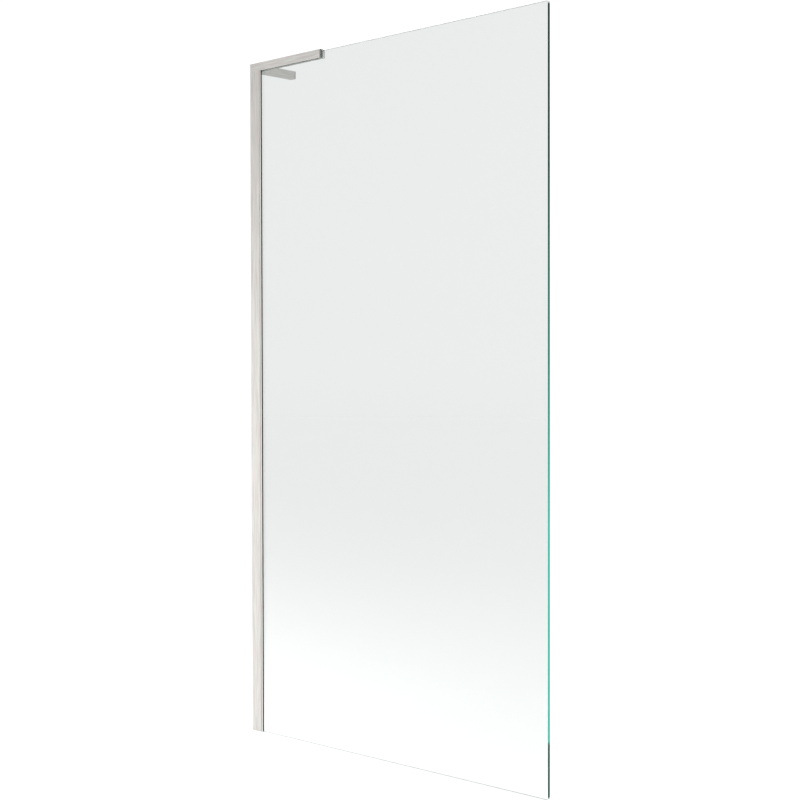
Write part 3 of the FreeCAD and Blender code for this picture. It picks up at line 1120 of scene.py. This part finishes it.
@dataclass
class WallProfile:
    """The wall channel, the glazing profile in it and the plugs in their feet."""

    channel: Finish = BrushedSteel("steel_brushed_upright", Along.UPRIGHT)
    # Painted light: lighter than the channel's steel, to make up for the shade of the channel's lip. Its
    # faces that turn away from the wall carry painted shade.
    inner: Finish = BrushedSteel(
        "steel_brushed_inner_painted_light", Along.UPRIGHT, colour(0.82, 0.795, 0.78), colour(0.93, 0.91, 0.89),
        PaintedShade(Along.LENGTH.value, 0.18),
    )
    plug: Finish = MouldedPlastic("plug_plastic", grey(0.22))

    def build(self) -> None:
        """Dress the steel and build the plugs."""
        dress(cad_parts["wall_channel"], self.channel.material())
        dress(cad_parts["glazing_profile"], self.inner.material())
        plug = self.plug.material()
        SoftCopy("channel_foot_plug", "channel_plug", Body.WALL_FRAME, "plug_plastic").build(plug)
        SoftCopy("glazing_foot_cap", "glazing_plug", GLASS_PANEL, "plug_plastic").build(plug)


@dataclass
class TopBracket:
    """The rail over the glass, its lining, the key inside it, the wall arm and its base."""

    # Painted shade on the ends that turn away from the wall, darkest in front of the glass and fading out
    # towards the rear.
    along: Finish = BrushedSteel(
        "steel_brushed_along", Along.LENGTH, painted_shade=PaintedShade(Along.LENGTH.value, 0.16, (-4 * MM, 6 * MM)),
    )
    # Painted shade on the arm's underside.
    depth: Finish = BrushedSteel(
        "steel_brushed_depth", Along.DEPTH, colour(0.665, 0.64, 0.63), colour(0.86, 0.84, 0.82),
        PaintedShade((0.0, 0.0, -1.0), 0.70),
    )
    drawn: Finish = TurnedSteel("steel_drawn", grey(0.50), (0.30, 0.44))
    # The lining's second colour is painted shade on its side in front of the glass.
    lining: Finish = Rubber("lining_rubber", colour(0.58, 0.59, 0.58), colour(0.12, 0.125, 0.12))

    def build(self) -> None:
        """Dress the steel and build the lining."""
        for finish, nodes in (
            (self.along, ("top_rail", "arm_end_cap")),
            (self.depth, ("wall_arm",)),
            (self.drawn, ("arm_base", "channel_key", "clamp_strip")),
        ):
            material = finish.material()
            for node in nodes:
                dress(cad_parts[node], material)
        lining = SoftCopy("rail_liner", "rail_lining", Body.WALL_FRAME, "gasket_rubber")
        lining.build(self.lining.material())


@dataclass
class Fasteners:
    """Screws, washers and caps, each set as a row."""

    row: RowTree
    shank: float = 2.0 * MM
    socket: float = 1.0 * MM
    socket_depth: float = 1.8 * MM
    soft: float = 0.25 * MM
    fine_segments: int = 48
    bore_room: float = 0.05 * MM
    cap_room: float = 0.1 * MM
    cap_crown: float = 0.9 * MM
    crown_steps: int = 6
    corner_head: float = 2.5 * MM
    corner_shank: float = 1.5 * MM
    corner_socket: float = 1.125 * MM

    def build(self) -> None:
        """Build and place every row."""
        steel = TurnedSteel("steel_turned").material()
        self.lock_set(steel)
        self.frame_screws(steel)

    def with_socket(self, rings: list[Ring], half: float) -> Mesh:
        """A screw with a hexagon socket in its last ring, of half this width across flats."""
        top = rings[-1].height
        return turned(rings + [Ring(half, top, True), Ring(half, top - self.socket_depth, True)])

    def cap_screw(self, node: str, seat: float, shank: float, socket: float) -> Mesh:
        """A cap screw, the seat of its head at the origin.

        Args:
            node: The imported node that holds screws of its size.
            seat: Where their heads' seats are.
            shank: Radius of the shank.
            socket: Half the socket's width across flats.

        Returns:
            The mesh.
        """
        low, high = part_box(node)
        head, foot, top = half_width(node), low.y - seat, high.y - seat
        return self.with_socket([
            Ring(shank - self.soft, foot), Ring(shank, foot + self.soft), Ring(shank, 0.0),
            Ring(head, 0.0), Ring(head, top - self.soft), Ring(head - self.soft, top),
        ], socket)

    def lock_set(self, steel: Material) -> None:
        """The screws that lock the glazing profile, with their washers and caps.

        Args:
            steel: The screws' material.
        """
        low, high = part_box("lock_washers")
        seat, back, bore, edge = high.y, low.y - high.y, self.shank + self.bore_room, self.soft / 2
        screw = self.cap_screw("lock_screws", seat, self.shank, self.socket)
        head, outer, cover = (half_width(n) for n in ("lock_screws", "lock_washers", "lock_screw_caps"))
        washer = turned([
            Ring(bore, back), Ring(outer - edge, back), Ring(outer, back + edge),
            Ring(outer, -edge), Ring(outer - edge, 0.0), Ring(bore, 0.0),
        ], True, self.fine_segments)
        cap = self.cap(cover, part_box("lock_screw_caps")[1].y - seat, head)
        satin = MouldedPlastic("cap_satin_silver", grey(0.56), (0.27, 0.37), 0.85).material()
        self.row.fill("lock_screws", screw, seat, head, steel)
        self.row.fill("lock_washers", washer, seat, outer, steel)
        self.row.fill("lock_screw_caps", cap, seat, cover, satin)

    def cap(self, outer: float, top: float, head: float) -> Mesh:
        """A push-on cap with a rounded crown, hollow over the screw's head.

        Args:
            outer: Its radius.
            top: Its height.
            head: Radius of the head that it covers.

        Returns:
            The mesh.
        """
        inner = head + self.cap_room
        ceiling = top - (outer - inner)
        crown = arc((outer - self.cap_crown, top - self.cap_crown), self.cap_crown, 0.0, self.crown_steps)
        hollow = [Ring(inner * 0.5, ceiling), Ring(inner, ceiling), Ring(inner, 0.0), Ring(outer, 0.0)]
        return turned(hollow + [Ring(r, h) for r, h in crown], segments=self.fine_segments)

    def grub(self, length: float) -> Mesh:
        """A headless screw, its socket end at the origin.

        Args:
            length: Its length.

        Returns:
            The mesh.
        """
        point = 2 * self.soft
        return self.with_socket([
            Ring(self.shank - point, -length), Ring(self.shank, point - length),
            Ring(self.shank, -self.soft), Ring(self.shank - self.soft, 0.0),
        ], self.socket)

    def frame_screws(self, steel: Material) -> None:
        """The grub screws of clamp and arm, and the screws that hold arm, rail, key and channel.

        Args:
            steel: Their material.
        """
        low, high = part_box("clamp_screws")
        self.row.fill("clamp_screws", self.grub(high.y - low.y), high.y, self.shank, steel)
        low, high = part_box("arm_grub_screws")
        self.row.fill("arm_grub_screws", self.grub(high.z - low.z), low.z, self.shank, steel)

        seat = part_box("corner_screws")[1].y - self.corner_head
        mesh = self.cap_screw("corner_screws", seat, self.corner_shank, self.corner_socket)
        self.row.fill("corner_screws", mesh, seat, half_width("corner_screws"), steel)

        low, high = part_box("key_screws")
        head, length = (high.y - low.y) / 2, high.x - low.x
        mesh = self.with_socket([
            Ring(self.shank - self.soft, -length), Ring(self.shank, self.soft - length),
            Ring(self.shank, self.shank - head), Ring(head, 0.0),
        ], self.socket)
        self.row.fill("key_screws", mesh, low.x, head, steel)


# ---- Studio ----


@dataclass
class Camera:
    """The camera, as solved from the photograph's straight edges."""

    place: Spot = (2.6585, -2.24789, 0.79025)
    yaw: float = -0.77429
    pitch: float = -0.01921
    roll: float = -0.00198
    focal_px: float = 1533.99
    middle_row: float = 409.72
    frame_px: float = 800.0
    sensor: float = 36.0
    sees_to: float = 100.0

    def build(self) -> None:
        """Set the camera in the scene."""
        heading = Matrix.Rotation(-self.yaw, 4, "Z")
        tilt = Matrix.Rotation(QUARTER_TURN + self.pitch, 4, "X")
        roll = Matrix.Rotation(self.roll, 4, "Z")
        data = bpy.data.cameras.new("camera")
        data.sensor_width = self.sensor
        data.lens = self.focal_px / self.frame_px * self.sensor
        data.shift_y = (self.middle_row - self.frame_px / 2) / self.frame_px
        data.clip_end = self.sees_to
        camera = new_object("camera", data)
        camera.matrix_world = Matrix.Translation(self.place) @ heading @ tilt @ roll
        bpy.context.scene.camera = camera


@dataclass(frozen=True)
class Card(Finish):
    """A flat reflector that only glossy surfaces see, with a glow that changes with height."""

    azimuth: float
    distance: float
    lean: float
    width: float
    bottom: float
    top: float
    levels: tuple[Pair, ...]
    brightest: float = 1.4

    def build(self, centre: Vector) -> None:
        """Stand the card round a centre.

        Args:
            centre: What it faces.
        """
        turn = math.radians(self.azimuth)
        outwards = Vector((math.cos(turn), math.sin(turn), 0.0))
        side = Vector((-outwards.y, outwards.x, 0.0)) * (self.width / 2)
        near = Vector((*centre.xy, self.bottom)) + outwards * self.distance
        far = Vector((*centre.xy, self.top)) + outwards * (self.distance + self.lean)
        corners = [near - side, near + side, far + side, far - side]
        mesh = bpy.data.meshes.new(self.name)
        mesh.from_pydata([tuple(c) for c in corners], [], [(0, 1, 2, 3)])
        piece = new_object(self.name, mesh)
        dress(piece, self.material())
        for rays in ("camera", "diffuse", "transmission", "shadow"):
            setattr(piece, "visible_" + rays, False)

    def lay(self, shader: Shader) -> None:
        """Lay the glow."""
        height = shader.mapped(shader.coordinate("Z"), self.bottom, self.top)
        shader.glow("ShaderNodeEmission", height, self.levels, self.brightest)


@dataclass
class Studio:
    """White surroundings, pale floor, one broad light overhead and the reflectors.

    They stand round the middle of the object, its centre.
    """

    centre: Vector
    brightest: float = 1.08
    horizon: float = -0.026
    above: float = 0.2
    backdrop_levels: tuple[Pair, ...] = (
        (0.0, 1.036), (0.115, 1.049), (0.25, 1.055), (0.47, 1.066), (1.0, 1.078),
    )
    floor_radius: float = 30.0
    floor_segments: int = 96
    floor_drop: float = 0.5 * MM
    lamp_height: float = 2.6
    lamp_size: float = 0.8
    lamp_power: float = 15.0
    cards: tuple[Card, ...] = (
        Card("card_front", -135.0, 6.0, 0.0, 7.0, 0.9, 6.0, (
            (0.0, 1.30), (0.05, 1.185), (0.15, 1.04), (0.34, 0.84), (1.0, 0.25),
        )),
        Card("card_low", -135.0, 0.75, 5.25, 7.0, 0.002, 0.9, (
            (0.0, 1.26), (0.08, 1.29), (0.2, 1.32), (0.45, 1.29), (1.0, 1.30),
        )),
        Card("card_side", 43.0, 6.0, 0.0, 11.0, 0.2, 4.5, (
            (0.0, 1.0), (0.35, 0.80), (0.6, 0.62), (1.0, 0.42),
        )),
    )

    def build(self) -> None:
        """Build everything that isn't part of the object."""
        bpy.context.scene.view_settings.view_transform = "Standard"
        self.backdrop()
        self.floor()
        self.lamp()
        for card in self.cards:
            card.build(self.centre)
        Camera().build()
        log.info("studio built")

    def backdrop(self) -> None:
        """White surroundings that dim a little towards the horizon."""
        world = bpy.data.worlds.new("studio")
        sky = Shader(world, "ShaderNodeOutputWorld")
        height = sky.mapped(sky.coordinate("Z"), self.horizon, self.above)
        sky.glow("ShaderNodeBackground", height, self.backdrop_levels, self.brightest)
        bpy.context.scene.world = world

    def floor(self) -> None:
        """Lay the floor."""
        work = bmesh.new()
        bmesh.ops.create_circle(work, cap_ends=True, radius=self.floor_radius, segments=self.floor_segments)
        bmesh.ops.translate(work, verts=work.verts, vec=(*self.centre.xy, -self.floor_drop))
        piece = new_object("floor", finished(work, "floor"))
        dress(piece, StudioFloor().material())

    def lamp(self) -> None:
        """Hang the overhead light."""
        data = bpy.data.lights.new("overhead", "AREA")
        data.shape = "DISK"
        data.size = self.lamp_size
        data.energy = self.lamp_power
        new_object("overhead", data).location = (*self.centre.xy, self.lamp_height)


def main() -> None:
    """Build the screen, piece by piece, and then the studio."""
    logging.basicConfig(level=logging.INFO, format="%(name)s: %(message)s")
    row = RowTree()
    GlassPanel(StripTree(), row).build()
    WallProfile().build()
    TopBracket().build()
    Fasteners(row).build()
    low, high = (Vector(corner) for corner in CAD_BOX)
    Studio((low + high) / 2).build()


if __name__ == "__main__":
    main()
